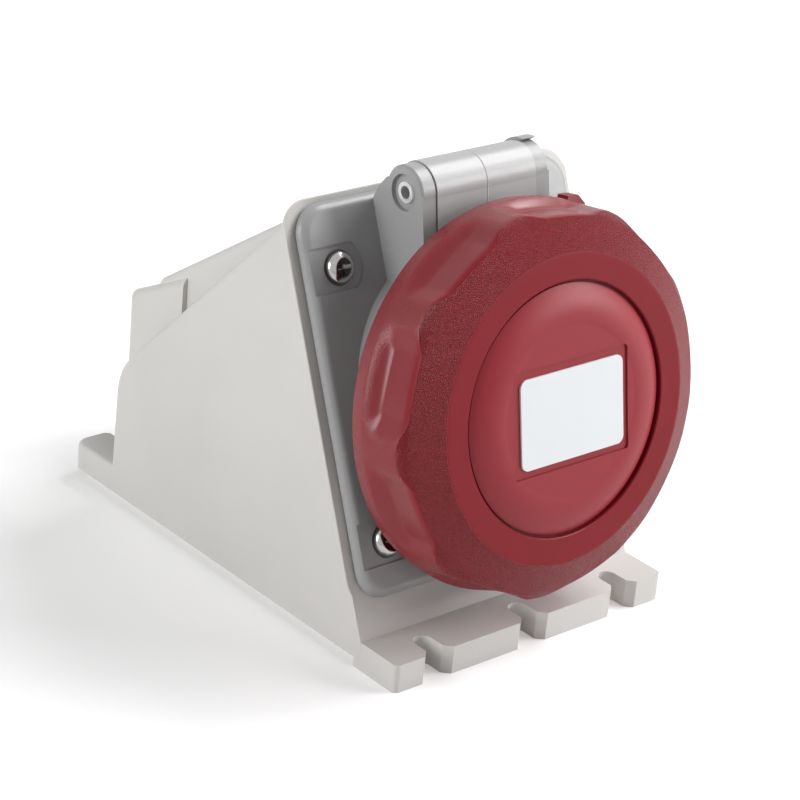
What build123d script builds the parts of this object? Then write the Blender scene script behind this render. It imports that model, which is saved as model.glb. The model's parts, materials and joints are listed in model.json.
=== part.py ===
from build123d import *
import math
import os

# Industrial wall socket, 63 A class, 3P+N+E, red, surface mounted, with a hinged lid and a bayonet ring.
# Frame: the wall plane is Z = 0 and +Z points away from the wall. The socket looks towards -Y.
# X = 0 is the plane of symmetry. Millimetres and degrees throughout.

# Wall box, outside
base_half_width = 53.15
rim_half_width = 54.4
base_thickness = 9.0
base_front_y = -16.0
base_rear_y = 147.0
rear_lug_top = 11.7
side_relief = 3.0
pad_half_width = 49.5
box_rear_y = 126.6
rear_draft = 0.045
shoulder_rear_z = 44.0
shoulder_round = 2.6
shoulder_rear_round = 20.0
shoulder_slope = 0.985
spine_half_width = 47.0
spine_front_v = 124.2
spine_slope = 0.681
spine_rear_y = 113.0
block_half_width = 48.6
block_rear_y = 126.8
block_front_z = 77.4
block_rear_z = 70.2
wall = 3.5
floor_thickness = 4.0
rim_top_v = 127.6
rim_bottom_v = 9.0
rim_depth = 3.0
rim_corner = 9.0
post_r = 5.6
post_depth = 24.0

# Fixing slots at the front and rear edges of the base
slot_pitch = 37.0
slot_width = 6.3
slot_depth = 10.3
slot_mouth = 2.4
tab_chamfer = 1.8

# Flange plate: stands on the sloping front of the box, tilted back from the wall's normal
flange_tilt = 22.6
plate_half_width = 51.5
plate_bottom_v = 10.9
plate_top_v = 125.8
plate_corner = 9.0
plate_rear_w = 0.8
plate_face_w = 3.8
plate_edge_round = 2.9
screw_u = 40.4
screw_low_v = 27.2
screw_high_v = 106.7
seat_end_u = 50.8
seat_height = 13.4
seat_r = 8.6
seat_w = 3.4
head_sink_r = 5.25
head_seat_w = 2.8
screw_r = 2.5
screw_head_r = 4.75
screw_head_height = 3.3

# Socket axis: inclined to the plate; the ring's front is measured along the axis from the box's front
axis_v = 66.0
socket_incline = 12.2
lid_reach = 45.26

# Depths along the socket axis, measured back from the front face of the locking ring
ring_rear_w = -26.5
collar_rim_w = -10.0
insert_front_w = -12.0
neck_step_w = -27.5
insert_flange_w = -30.0
insert_flange_thickness = 4.0
insert_rear_w = -58.0

# Collar, neck and insert radii
collar_bore_r = 35.5
collar_r = 40.0
neck_r = 41.8
neck_bore_r = 39.6
collar_lug_r = 46.6
insert_r = 30.0
insert_rear_r = 31.5
insert_screw_circle_r = 37.0
insert_screw_r = 1.2
contact_circle_r = 19.0
keyway_width = 6.6
keyway_depth = 1.9

# Contacts
contact_bore_r = 4.05
contact_r = 5.3
earth_bore_r = 5.05
earth_r = 6.3
terminal_r = 6.6
contact_front_w = -14.0
terminal_front_w = -43.0
terminal_screw_w = -51.5
terminal_screw_r = 2.5
pilot_bore_r = 3.05
pilot_r = 4.2

# Bayonet: lugs of the ring turn behind the lugs of the collar
lug_half_angle = 12.0
lug_spacing = 120.0
collar_lug_start = 0.0
ring_lug_start = 30.0
ring_lug_r = 43.4
collar_lug_front_w = -13.9
collar_lug_rear_w = -18.9
ring_lug_front_w = -19.3
ring_lug_rear_w = -24.0

# Locking ring
ring_bore_r = 37.5
ring_lip_r = 35.25
ring_face_r = 45.4
ring_edge_r = 55.3
ring_edge_w = -4.8
ring_lobe_r = 57.8
ring_lobe_w = -7.6
ring_inner_r = 52.3
ring_plate = 3.0
grip_count = 10
grip_floor_r = 55.0
grip_half_angle = 14.0
grip_rear_w = -20.5
pointer_angle = 64.0
pointer_r = 61.0

# Lid: red disc, label, seal and bracket plate
disc_r = 36.6
disc_top_w = 1.7
disc_flat_r = 25.0
disc_edge_w = -1.0
disc_boss_r = 35.2
lid_plate_front_w = -3.4
lid_plate_thickness = 3.0
lid_plate_r = 43.6
label_width = 39.6
label_height = 26.6
label_thickness = 0.6
recess_width = 44.4
recess_height = 31.4
recess_sink = 0.5

# Hinge at the top of the flange, in the lid's frame
pin_v = 61.0
pin_w = -39.9
barrel_r = 8.4
barrel_half = 18.9
ear_inner = 19.3
ear_outer = 24.3
ear_r = 8.0
ear_sink_r = 5.4
ear_sink_depth = 1.4
stop_r = 9.2
stop_chord = 7.0
stop_lean = 25.0
pin_r = 2.5
pin_clearance = 0.05
spring_r = 3.4
spring_wire = 1.1
spring_pitch = 1.5
tongue_inner_r = 47.4
tongue_outer_r = 51.4
tongue_half_angle = 14.0
arm_front_w = -31.6
arm_rear_w = -35.4

# Cable entry, M40, at the rear end of the box
entry_z = 40.0
entry_r = 20.0
gland_flats = 46.0
cable_bore_r = 14.0

foot = Vector(0, 0, base_thickness)
tilt = math.radians(flange_tilt)
flange_normal = Vector(0, -math.cos(tilt), math.sin(tilt))
flange_frame = Plane(foot, x_dir=(1, 0, 0), z_dir=flange_normal)

lid_tilt = math.radians(flange_tilt - socket_incline)
lid_normal = Vector(0, -math.cos(lid_tilt), math.sin(lid_tilt))
lid_origin = flange_frame.from_local_coords(Vector(0, axis_v, 0)) + lid_normal * lid_reach
lid_frame = Plane(lid_origin, x_dir=(1, 0, 0), z_dir=lid_normal)

low = (Align.CENTER, Align.CENTER, Align.MIN)


def on_lid(shape):
    """Move a shape from the lid's frame to the part's frame."""
    return lid_frame.location * shape


def on_flange(shape):
    """Move a shape from the flange plate's frame to the part's frame."""
    return flange_frame.location * shape


def disc(radius, w_low, w_high, x=0.0, y=0.0):
    """A cylinder along local Z between two depths."""
    return Pos(x, y, w_low) * Cylinder(radius, w_high - w_low, align=low)


def tube(outer, inner, w_low, w_high):
    """A ring-shaped cylinder along local Z between two depths."""
    return disc(outer, w_low, w_high) - disc(inner, w_low - 1, w_high + 1)


def sector(inner, outer, w_low, w_high, middle, half_angle):
    """A curved block between two radii, centred on an angle, with concentric faces."""
    a0 = math.radians(middle - half_angle)
    a1 = math.radians(middle)
    a2 = math.radians(middle + half_angle)

    def at(radius, angle):
        return (radius * math.cos(angle), radius * math.sin(angle))

    outline = Wire([
        Edge.make_three_point_arc(at(outer, a0), at(outer, a1), at(outer, a2)),
        Edge.make_line(at(outer, a2), at(inner, a2)),
        Edge.make_three_point_arc(at(inner, a2), at(inner, a1), at(inner, a0)),
        Edge.make_line(at(inner, a0), at(outer, a0)),
    ])
    return Pos(0, 0, w_low) * extrude(Face(outline), amount=w_high - w_low, dir=(0, 0, 1))


def turned(points):
    """A solid of revolution about local Z from (radius, depth) points."""
    profile = make_face(Polyline(*[(r, 0, w) for r, w in points], close=True))
    return revolve(profile, axis=Axis.Z)


def side_prism(points, half_width):
    """A prism across X from (y, z) points, symmetric about X = 0."""
    face = make_face(Polyline(*[(0, y, z) for y, z in points], close=True))
    return extrude(face, amount=half_width, dir=(1, 0, 0), both=True)


def flange_side(v, w):
    """The (y, z) of a point of the flange frame, with w counted from the front of the box."""
    point = flange_frame.from_local_coords(Vector(0, v, w))
    return (point.Y, point.Z)


def rounded_plate(half_width, v_low, v_high, corner, w_low, w_high):
    """A flat plate with rounded corners in the flange frame."""
    height = v_high - v_low
    outline = RectangleRounded(2 * half_width, height, corner)
    return Pos(0, (v_low + v_high) / 2, w_low) * extrude(outline, amount=w_high - w_low)


# Wall box

def shoulder_profile(inset):
    """Side outline of the main shell, drawn in from the outside by an inset."""
    low_z = floor_thickness if inset else side_relief
    rear_y = box_rear_y - inset
    roof_z = shoulder_rear_z - inset * math.hypot(1, shoulder_slope) + inset * shoulder_slope
    rear_z = roof_z / (1 - rear_draft * shoulder_slope)
    first = flange_side(0, -inset)
    rise = roof_z + (rear_y - first[0]) * shoulder_slope - first[1]
    reach = rise / (math.cos(tilt) + shoulder_slope * math.sin(tilt))
    front = flange_side(reach, -inset)
    return [(first[0], low_z), first, front, (rear_y - rear_draft * rear_z, rear_z), (rear_y, low_z)]


def spine_profile(inset):
    """Side outline of the raised middle of the roof."""
    slope_length = math.hypot(1, spine_slope)
    top = flange_side(spine_front_v, 0)
    front = flange_side(spine_front_v, -inset)
    front_z = top[1] - (front[0] - top[0]) * spine_slope - inset * slope_length
    rear_y = spine_rear_y - inset
    rear_z = front_z - (rear_y - front[0]) * spine_slope
    low_z = floor_thickness + 1
    start = flange_side(30, -inset - 2)
    return [(start[0], low_z), start, (front[0], front_z), (rear_y, rear_z), (rear_y, low_z)]


def block_profile(inset):
    """Side outline of the block that carries the cable entry."""
    rear = block_rear_y - inset
    top_slope = (block_front_z - block_rear_z) / (block_rear_y - spine_rear_y)
    front = spine_rear_y - 14.0
    front_z = block_front_z + 14.0 * top_slope - inset * 1.15
    rear_z = block_rear_z - inset * 1.15 + inset * top_slope
    low_z = floor_thickness + 1
    return [(front, low_z), (front, front_z), (rear, rear_z), (rear, low_z)]


def side_draft(inset):
    """Front view of the shell: the side walls lean out a little from foot to rim."""
    top_z = 140.0
    grow = (rim_half_width - base_half_width) / 125.0
    low_half = base_half_width - inset
    top_half = base_half_width + grow * top_z - inset
    points = [(-low_half, 0), (low_half, 0), (top_half, top_z), (-top_half, top_z)]
    face = make_face(Polyline(*[(x, 0, z) for x, z in points], close=True))
    return extrude(face, amount=300, dir=(0, 1, 0), both=True)


def shell_body():
    """Outside of the box without its base plate."""
    main = side_prism(shoulder_profile(0), 70)
    rear_top = main.edges().filter_by(Axis.X).filter_by(lambda e: e.center().Y > 100 and e.center().Z > 20)
    main = fillet(rear_top, shoulder_rear_round) & side_draft(0)
    roof = main.edges().filter_by(lambda e: abs(e.center().X) > 52 and e.center().Z > 20 and e.center().Y > 60)
    main = fillet(roof, shoulder_round)
    spine = side_prism(spine_profile(0), spine_half_width)
    block = side_prism(block_profile(0), block_half_width)
    block = fillet(block.edges().filter_by(lambda e: e.center().Y > 100 and e.center().Z > 20), 3.0)
    spine = fillet(spine.edges().filter_by(lambda e: abs(e.center().X) > 40 and e.center().Z > 80), 2.5)
    rim = rounded_plate(rim_half_width, rim_bottom_v, rim_top_v, rim_corner, -rim_depth, 0)
    rim = fillet(rim.faces().sort_by(Axis.Z)[0].edges(), 2.5)
    rim = fillet(rim.faces().sort_by(Axis.Z)[-1].edges().filter_by(lambda e: e.center().Y > 40), 0.4)
    return main + spine + block + on_flange(rim)


def slotted_edge(y_edge, direction, top, bottom):
    """Cutter for three open slots along one edge of the base; direction points into the plate."""
    cutters = []
    for x in (-slot_pitch, 0, slot_pitch):
        end_y = y_edge + direction * (slot_depth - slot_width / 2)
        round_end = Pos(x, end_y, bottom) * Cylinder(slot_width / 2, top - bottom, align=low)
        run = abs(end_y - y_edge) + 1
        straight = Pos(x, (end_y + y_edge - direction) / 2, bottom) * Box(slot_width, run, top - bottom, align=low)
        half = slot_width / 2
        mouth = make_face(Polyline(
            (x - half - slot_mouth, y_edge - direction * 0.01, bottom),
            (x + half + slot_mouth, y_edge - direction * 0.01, bottom),
            (x + half, y_edge + direction * slot_mouth, bottom),
            (x - half, y_edge + direction * slot_mouth, bottom),
            close=True))
        cutters += [round_end, straight, extrude(mouth, amount=top - bottom, dir=(0, 0, 1))]
    return cutters


def base_plate():
    """Base with slotted front and rear edges; the sides are relieved above the wall."""
    front = Pos(0, base_front_y, 0) * Box(2 * base_half_width, 2.5 - base_front_y, base_thickness,
                                          align=(Align.CENTER, Align.MIN, Align.MIN))
    front = fillet(front.edges().filter_by(Axis.Z).group_by(Axis.Y)[0], tab_chamfer)
    pad = Box(2 * pad_half_width, base_rear_y - 3, side_relief + 2, align=(Align.CENTER, Align.MIN, Align.MIN))
    pad = fillet(pad.edges().filter_by(Axis.Z).group_by(Axis.Y)[-1], 5.0)
    rear = Pos(0, box_rear_y - 10, side_relief) * Box(
        2 * base_half_width, base_rear_y - box_rear_y + 10, rear_lug_top - side_relief,
        align=(Align.CENTER, Align.MIN, Align.MIN))
    rear = fillet(rear.edges().filter_by(Axis.Z).group_by(Axis.Y)[-1], 5.0)
    rear = fillet(rear.faces().sort_by(Axis.Z)[-1].edges().group_by(Axis.Y)[-1], 1.5)
    plate = front + pad + rear
    for cutter in slotted_edge(base_front_y, 1, base_thickness + 1, -1):
        plate -= cutter
    for cutter in slotted_edge(base_rear_y, -1, rear_lug_top + 1, -1):
        plate -= cutter
    return plate


def screw_places():
    """The four flange screw positions in the flange frame."""
    return [(u, v) for u in (-screw_u, screw_u) for v in (screw_low_v, screw_high_v)]


def wall_box():
    """Hollow box with screw posts, ribs and a cable entry."""
    body = shell_body() + base_plate()
    hollow = side_prism(shoulder_profile(wall), 70) & side_draft(wall)
    hollow += side_prism(spine_profile(wall), spine_half_width - wall)
    hollow += side_prism(block_profile(wall), block_half_width - wall)
    body -= hollow
    mouth = rounded_plate(rim_half_width - 7.0, rim_bottom_v + 9.0, rim_top_v - 9.0, 6.0, -10, 1)
    body -= on_flange(mouth)
    for u, v in screw_places():
        post = disc(post_r, -post_depth, 0, u, v)
        side = 1 if u > 0 else -1
        web = Pos(side * (rim_half_width - 7.0), v, -post_depth / 2) * Box(11.0, 3.0, post_depth)
        body += on_flange(post + web) & side_draft(0.5)
    for u, v in screw_places():
        body -= on_flange(disc(screw_r, -post_depth + 4, 1, u, v))
    entry_boss = Pos(0, block_rear_y - 1, entry_z) * Rot(90, 0, 0) * Cylinder(entry_r + 5, 6.5, align=low)
    body += entry_boss
    body -= Pos(0, block_rear_y + 5, entry_z) * Rot(90, 0, 0) * Cylinder(entry_r, 30, align=low)
    return body


def flange_gasket():
    """Flat rubber frame between the plate and the rim of the box."""
    inset = 1.2
    outer = rounded_plate(plate_half_width - inset, plate_bottom_v + inset, plate_top_v - inset,
                          plate_corner - inset, 0, plate_rear_w)
    inner = rounded_plate(rim_half_width - 7.5, rim_bottom_v + 9.5, rim_top_v - 9.5, 6.0, -1, plate_rear_w + 1)
    gasket = outer - inner
    for u, v in screw_places():
        gasket += disc(post_r - 0.2, 0, plate_rear_w, u, v)
    for u, v in screw_places():
        gasket -= disc(screw_r + 0.25, -1, plate_rear_w + 1, u, v)
    return on_flange(gasket)


# Socket flange: plate, neck, collar and hinge ears in one moulding

def flange_plate():
    """The plate with a broadly rounded edge and four flat screw seats that cut into it."""
    plate = rounded_plate(plate_half_width, plate_bottom_v, plate_top_v, plate_corner, plate_rear_w, plate_face_w)
    plate = fillet(plate.faces().sort_by(Axis.Z)[-1].edges(), plate_edge_round)
    for u, v in screw_places():
        side = 1 if u > 0 else -1
        length = seat_end_u - screw_u
        seat = Pos(side * (screw_u + length / 2), v, seat_w) * Box(length, seat_height, 8, align=low)
        seat += disc(seat_r, seat_w, seat_w + 8, u, v) & Pos(0, v, 0) * Box(200, seat_height, 60)
        plate -= seat
        plate -= disc(head_sink_r, head_seat_w, 9, u, v)
    return on_flange(plate)


def hinge_ears():
    """Two webs that rise from the plate and hold the hinge pin in their round heads."""
    front_w = pin_w + ear_r - 0.1
    foot_front = lid_frame.from_local_coords(Vector(0, 30.0, front_w))
    head_front = lid_frame.from_local_coords(Vector(0, pin_v, front_w))
    pin = lid_frame.from_local_coords(Vector(0, pin_v, pin_w))
    outline = [
        (foot_front.Y, foot_front.Z), (head_front.Y, head_front.Z), (pin.Y, pin.Z),
        flange_side(129.6, 11.6), flange_side(127.3, 7.6), flange_side(123.6, plate_face_w - 0.4),
        flange_side(123.0, plate_rear_w), flange_side(88.0, plate_rear_w)]
    ears = []
    for side in (-1, 1):
        x = side * (ear_inner + ear_outer) / 2
        width = ear_outer - ear_inner
        turn = Rot(0, side * 90, 0)
        head = Pos(side * ear_inner, pin.Y, pin.Z) * turn * Cylinder(ear_r, width, align=low)
        head = chamfer(head.edges().filter_by(GeomType.CIRCLE).sort_by(Axis.X)[-1 if side > 0 else 0], 0.7)
        web = Pos(x, 0, 0) * side_prism(outline, width / 2)
        sink = Pos(side * (ear_outer - ear_sink_depth), pin.Y, pin.Z) * turn * Cylinder(ear_sink_r, 3, align=low)
        bore = Pos(x, pin.Y, pin.Z) * turn * Cylinder(pin_r, 2 * width)
        ears.append(head + web - sink - bore)
    return ears


def lid_stop():
    """Low nose on the head of the right ear."""
    width = ear_outer - ear_inner
    nose = Rot(0, 90, 0) * Cylinder(stop_r, width) - Rot(0, 90, 0) * Cylinder(ear_r - 1, 2 * width)
    nose = nose & Pos(0, stop_chord + 5, 0) * Box(2 * width, 10, 40)
    return on_lid(Pos(ear_inner + width / 2, pin_v, pin_w) * Rot(-stop_lean, 0, 0) * nose)


def socket_flange():
    """One moulding: plate, inclined neck, collar with bayonet lugs, and hinge ears."""
    ahead_of_rear = on_flange(Pos(0, axis_v, plate_rear_w) * Box(300, 300, 80, align=low))
    neck = on_lid(disc(neck_r, -80, neck_step_w)) & ahead_of_rear
    collar = on_lid(disc(collar_r, -60, collar_rim_w)) & ahead_of_rear
    body = flange_plate() + neck + collar
    for ear in hinge_ears():
        body += ear
    body += lid_stop()
    body -= on_lid(disc(collar_bore_r, -90, collar_rim_w + 1))
    body -= on_lid(disc(neck_bore_r, -90, insert_flange_w))
    keyway = Pos(0, -collar_bore_r, -20) * Box(keyway_width, 2 * keyway_depth, 30)
    body -= on_lid(keyway)
    for i in range(3):
        angle = collar_lug_start + lug_spacing * i
        body += on_lid(sector(collar_r - 1, collar_lug_r, collar_lug_rear_w, collar_lug_front_w,
                              angle, lug_half_angle))
    for u, v in screw_places():
        body -= on_flange(disc(screw_r + 0.25, plate_rear_w - 1, 5, u, v))
    for i in range(3):
        x, y = insert_screw_place(i)
        body -= on_lid(disc(insert_screw_r, insert_flange_w - 1, -21.0, x, y))
    return body


def insert_screw_place(i):
    """Place of one of the three screws that hold the insert, in the lid's frame."""
    angle = math.radians(90 + lug_spacing * i)
    return (insert_screw_circle_r * math.cos(angle), insert_screw_circle_r * math.sin(angle))


def flange_screws():
    """Four pan-head screws with a cross recess."""
    screws = []
    for u, v in screw_places():
        top = head_seat_w + screw_head_height
        head = disc(screw_head_r, head_seat_w, top, u, v)
        head = fillet(head.edges().sort_by(Axis.Z)[-1], 2.2)
        cross = Pos(u, v, top - 1.9) * (Box(5.0, 1.1, 4, align=low) + Box(1.1, 5.0, 4, align=low))
        screws.append(on_flange(head + disc(screw_r, -post_depth + 7, head_seat_w, u, v) - cross))
    return Compound(screws)


# Contact insert and contacts

def contact_places():
    """Angle of each pole on the contact circle: earth at six o'clock, by the keyway."""
    return {"earth": 270, "l1": 342, "l2": 54, "l3": 126, "n": 198}


def contact_at(angle):
    """Centre of one contact in the lid's frame."""
    return (contact_circle_r * math.cos(math.radians(angle)), contact_circle_r * math.sin(math.radians(angle)))


def contact_insert():
    """Insulating holder of the contacts, seated against the collar from behind."""
    body = disc(insert_r, insert_rear_w, insert_front_w)
    body = fillet(body.edges().sort_by(Axis.Z)[-1], 1.2)
    body += disc(neck_bore_r - 0.2, insert_flange_w - insert_flange_thickness, insert_flange_w)
    body += disc(insert_rear_r, insert_rear_w, insert_flange_w)
    for name, angle in contact_places().items():
        x, y = contact_at(angle)
        bore = earth_bore_r if name == "earth" else contact_bore_r
        sleeve = earth_r if name == "earth" else contact_r
        body -= disc(bore + 0.35, insert_front_w - 5, insert_front_w + 1, x, y)
        body -= disc(sleeve + 0.05, terminal_front_w - 1, contact_front_w, x, y)
        body -= disc(terminal_r + 0.05, insert_rear_w - 1, terminal_front_w, x, y)
        screw_way = Pos(0, 0, terminal_screw_w) * Rot(0, 0, angle) * Rot(0, 90, 0) * Cylinder(
            terminal_screw_r + 0.6, 60, align=low)
        body -= screw_way & (disc(60, -80, 0) - disc(contact_circle_r, -80, 0))
    body -= disc(pilot_bore_r + 0.3, insert_front_w - 5, insert_front_w + 1)
    body -= disc(pilot_r + 0.05, insert_rear_w - 1, contact_front_w)
    for i in range(3):
        x, y = insert_screw_place(i)
        body -= disc(insert_screw_r + 0.3, insert_flange_w - 10, insert_flange_w + 1, x, y)
    return on_lid(body)


def contact(name, angle):
    """One turned sleeve with its screw terminal at the rear."""
    x, y = contact_at(angle)
    bore = earth_bore_r if name == "earth" else contact_bore_r
    sleeve = earth_r if name == "earth" else contact_r
    body = disc(sleeve, terminal_front_w, contact_front_w, x, y)
    body += disc(terminal_r, insert_rear_w + 1, terminal_front_w, x, y)
    body -= disc(bore, terminal_front_w + 2, contact_front_w + 1, x, y)
    body -= disc(4.4, insert_rear_w, terminal_front_w - 2, x, y)
    hole = Pos(0, 0, terminal_screw_w) * Rot(0, 0, angle) * Rot(0, 90, 0) * Cylinder(terminal_screw_r, 60, align=low)
    body -= hole & (disc(60, -80, 0) - disc(contact_circle_r, -80, 0))
    return on_lid(body)


def pilot_contact():
    """Centre sleeve for the pilot pin."""
    body = disc(pilot_r, insert_rear_w + 1, contact_front_w)
    body -= disc(pilot_bore_r, terminal_front_w + 2, contact_front_w + 1)
    body -= disc(2.4, insert_rear_w, terminal_front_w - 2)
    return on_lid(body)


def terminal_screws():
    """One grub screw in the terminal of each pole."""
    screws = []
    for angle in contact_places().values():
        start = contact_circle_r + 3.0
        screw = Pos(0, 0, terminal_screw_w) * Rot(0, 0, angle) * Pos(start, 0, 0) * Rot(0, 90, 0) * Cylinder(
            terminal_screw_r, 6.5, align=low)
        slot = Pos(0, 0, terminal_screw_w) * Rot(0, 0, angle) * Pos(start + 6.5, 0, 0) * Box(2.4, 0.9, 6)
        screws.append(on_lid(screw - slot))
    return Compound(screws)


def insert_cover():
    """Rear plate that keeps the contacts in their chambers, with a hole for each wire."""
    thickness = 3.0
    body = disc(insert_rear_r, insert_rear_w - thickness, insert_rear_w)
    for angle in contact_places().values():
        x, y = contact_at(angle)
        body -= disc(4.6, insert_rear_w - 5, insert_rear_w + 1, x, y)
    body -= disc(2.6, insert_rear_w - 5, insert_rear_w + 1)
    return on_lid(body)


def insert_screws():
    """Three screws that hold the insert in the neck."""
    screws = []
    for i in range(3):
        x, y = insert_screw_place(i)
        low_w = insert_flange_w - insert_flange_thickness
        head = disc(2.2, low_w - 1.8, low_w, x, y)
        slot = Pos(x, y, low_w - 1.8) * Box(6, 0.7, 1.4)
        screws.append(on_lid(head + disc(insert_screw_r, low_w, -22.0, x, y) - slot))
    return Compound(screws)


# Locking ring

def ring_profile():
    """Section of the ring: front plate, cone, side wall, and the lip that runs under the disc."""
    return [
        (ring_bore_r, 0), (ring_face_r, 0), (ring_edge_r, ring_edge_w), (ring_lobe_r, ring_lobe_w),
        (ring_lobe_r + 0.3, grip_rear_w), (ring_lobe_r - 0.4, ring_rear_w), (ring_inner_r, ring_rear_w),
        (ring_inner_r, ring_lobe_w), (ring_face_r - 1.4, -ring_plate), (ring_lip_r, -ring_plate),
        (ring_lip_r, -1.7), (ring_bore_r, -1.7),
    ]


def grip_cutter():
    """One scallop: a flat floor with rounded ends, open at the front of the ring."""
    width = 2 * grip_floor_r * math.sin(math.radians(grip_half_angle))
    length = 40.0
    block = Pos(grip_floor_r + 10, 0, grip_rear_w + length / 2) * Box(20, width, length)
    inner = block.edges().filter_by(lambda e: e.center().X < grip_floor_r + 1 and e.center().Z < grip_rear_w + 30)
    ends = block.edges().filter_by(Axis.X).filter_by(lambda e: e.center().Z < grip_rear_w + 1)
    return fillet(inner + ends, 2.4)


def locking_ring():
    """Red bayonet ring with ten grip scallops, three inner lugs and a pointer at the rear rim."""
    ring = turned(ring_profile())
    cutter = grip_cutter()
    for i in range(grip_count):
        ring -= Rot(0, 0, 90 + 360 / grip_count * i) * cutter
    for i in range(3):
        angle = ring_lug_start + lug_spacing * i
        ring += sector(ring_lug_r, ring_inner_r + 0.5, ring_lug_rear_w, ring_lug_front_w, angle, lug_half_angle)
    ring += sector(ring_lobe_r - 1, pointer_r, ring_rear_w, ring_rear_w + 4.5, pointer_angle, 4.0)
    return on_lid(ring)


# Lid

def lid_disc():
    """Domed red disc with a shallow rectangular recess, closed to the front."""
    dome = Edge.make_three_point_arc(
        (disc_flat_r, 0, disc_top_w), (disc_flat_r + 7.0, 0, disc_top_w - 0.65), (disc_r, 0, disc_edge_w))
    outline = Wire([
        Edge.make_line((0, 0, disc_top_w), (disc_flat_r, 0, disc_top_w)),
        dome,
        Edge.make_line((disc_r, 0, disc_edge_w), (disc_r, 0, disc_edge_w - 0.4)),
        Edge.make_line((disc_r, 0, disc_edge_w - 0.4), (disc_boss_r, 0, disc_edge_w - 0.4)),
        Edge.make_line((disc_boss_r, 0, disc_edge_w - 0.4), (disc_boss_r, 0, lid_plate_front_w)),
        Edge.make_line((disc_boss_r, 0, lid_plate_front_w), (0, 0, lid_plate_front_w)),
        Edge.make_line((0, 0, lid_plate_front_w), (0, 0, disc_top_w)),
    ])
    body = revolve(Face(outline), axis=Axis.Z)
    recess = extrude(RectangleRounded(recess_width, recess_height, 1.2), amount=5)
    body -= Pos(0, -0.3, disc_top_w - recess_sink) * recess
    hollow = disc(31.5, lid_plate_front_w - 1, -1.2)
    for i in range(3):
        x, y = lid_screw_place(i)
        hollow -= disc(3.2, lid_plate_front_w - 2, 0, x, y)
    body -= hollow
    for i in range(3):
        x, y = lid_screw_place(i)
        body -= disc(1.25, lid_plate_front_w - 1, -0.8, x, y)
    return on_lid(body)


def lid_screw_place(i):
    """Place of one of the three screws that hold the disc to the bracket."""
    angle = math.radians(30 + lug_spacing * i)
    return (26.0 * math.cos(angle), 26.0 * math.sin(angle))


def label_plate():
    """Blank white plate in the recess of the disc."""
    plate = extrude(RectangleRounded(label_width, label_height, 2.4), amount=label_thickness)
    return on_lid(Pos(0.4, -0.5, disc_top_w - recess_sink) * plate)


def lid_bracket():
    """Grey carrier of the lid: round plate, skirt, tongue through the ring, and hinge barrel."""
    rear_w = lid_plate_front_w - lid_plate_thickness
    body = disc(lid_plate_r, rear_w, lid_plate_front_w)
    body += tube(lid_plate_r, 41.9, -11.0, rear_w)
    body += sector(42.5, tongue_outer_r, -11.0, -8.3, 90, tongue_half_angle)
    body += sector(tongue_inner_r, tongue_outer_r, arm_rear_w, -8.3, 90, tongue_half_angle)
    arm_low = tongue_inner_r
    depth = arm_front_w - arm_rear_w
    body += Pos(0, (arm_low + pin_v) / 2, arm_rear_w) * Box(2 * barrel_half, pin_v - arm_low, depth, align=low)
    barrel = Pos(0, pin_v, pin_w) * Rot(0, 90, 0) * Cylinder(barrel_r, 2 * barrel_half)
    body += barrel
    for i in range(3):
        x, y = lid_screw_place(i)
        body -= disc(1.6, rear_w - 1, lid_plate_front_w + 1, x, y)
    body -= Pos(0, pin_v, pin_w) * Rot(0, 90, 0) * Cylinder(pin_r + pin_clearance, 80)
    pocket = Pos(0, pin_v, pin_w) * Rot(0, 90, 0) * Cylinder(6.0, 20)
    window = Pos(0, pin_v - 4, pin_w - 5.1) * Box(20, 14, 18.8)
    body -= pocket
    body -= window
    return on_lid(body)


def lid_seal():
    """Rubber ring behind the lid plate, facing the collar's rim."""
    rear_w = lid_plate_front_w - lid_plate_thickness
    return on_lid(tube(41.6, 34.0, collar_rim_w + 0.3, rear_w))


def lid_screws():
    """Three screws from the rear of the bracket into the disc."""
    screws = []
    rear_w = lid_plate_front_w - lid_plate_thickness
    for i in range(3):
        x, y = lid_screw_place(i)
        head = disc(2.7, rear_w - 1.8, rear_w, x, y)
        slot = Pos(x, y, rear_w - 1.8) * Box(6, 0.7, 1.4)
        screws.append(on_lid(head + disc(1.25, rear_w, -1.4, x, y) - slot))
    return Compound(screws)


def hinge_pin():
    """Tubular rivet through ears and barrel, with rolled ends in the ear sinks."""
    half = ear_outer - ear_sink_depth
    shank = Rot(0, 90, 0) * Cylinder(pin_r, 2 * half)
    ends = Pos(half, 0, 0) * Rot(0, 90, 0) * Cylinder(3.1, 0.9, align=low)
    ends += Pos(-half, 0, 0) * Rot(0, -90, 0) * Cylinder(3.1, 0.9, align=low)
    bore = Rot(0, 90, 0) * Cylinder(1.9, 80)
    return on_lid(Pos(0, pin_v, pin_w) * (shank + ends - bore))


def lid_spring():
    """Torsion spring round the pin that closes the lid; its straight leg rests on the neck."""
    turns = 4.5
    length = spring_pitch * turns
    helix = Helix(pitch=spring_pitch, height=length, radius=spring_r)
    section = Plane(helix @ 0, z_dir=helix % 0) * Rectangle(spring_wire, spring_wire)
    coil = sweep(section, path=helix)
    leg_length = pin_v - neck_r - 0.3
    leg = Pos(-spring_r, 0, length) * Rot(90, 0, 0) * Box(spring_wire, spring_wire, leg_length, align=low)
    return on_lid(Pos(-length / 2, pin_v, pin_w) * Rot(0, 90, 0) * (coil + leg))


# Cable entry

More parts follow.
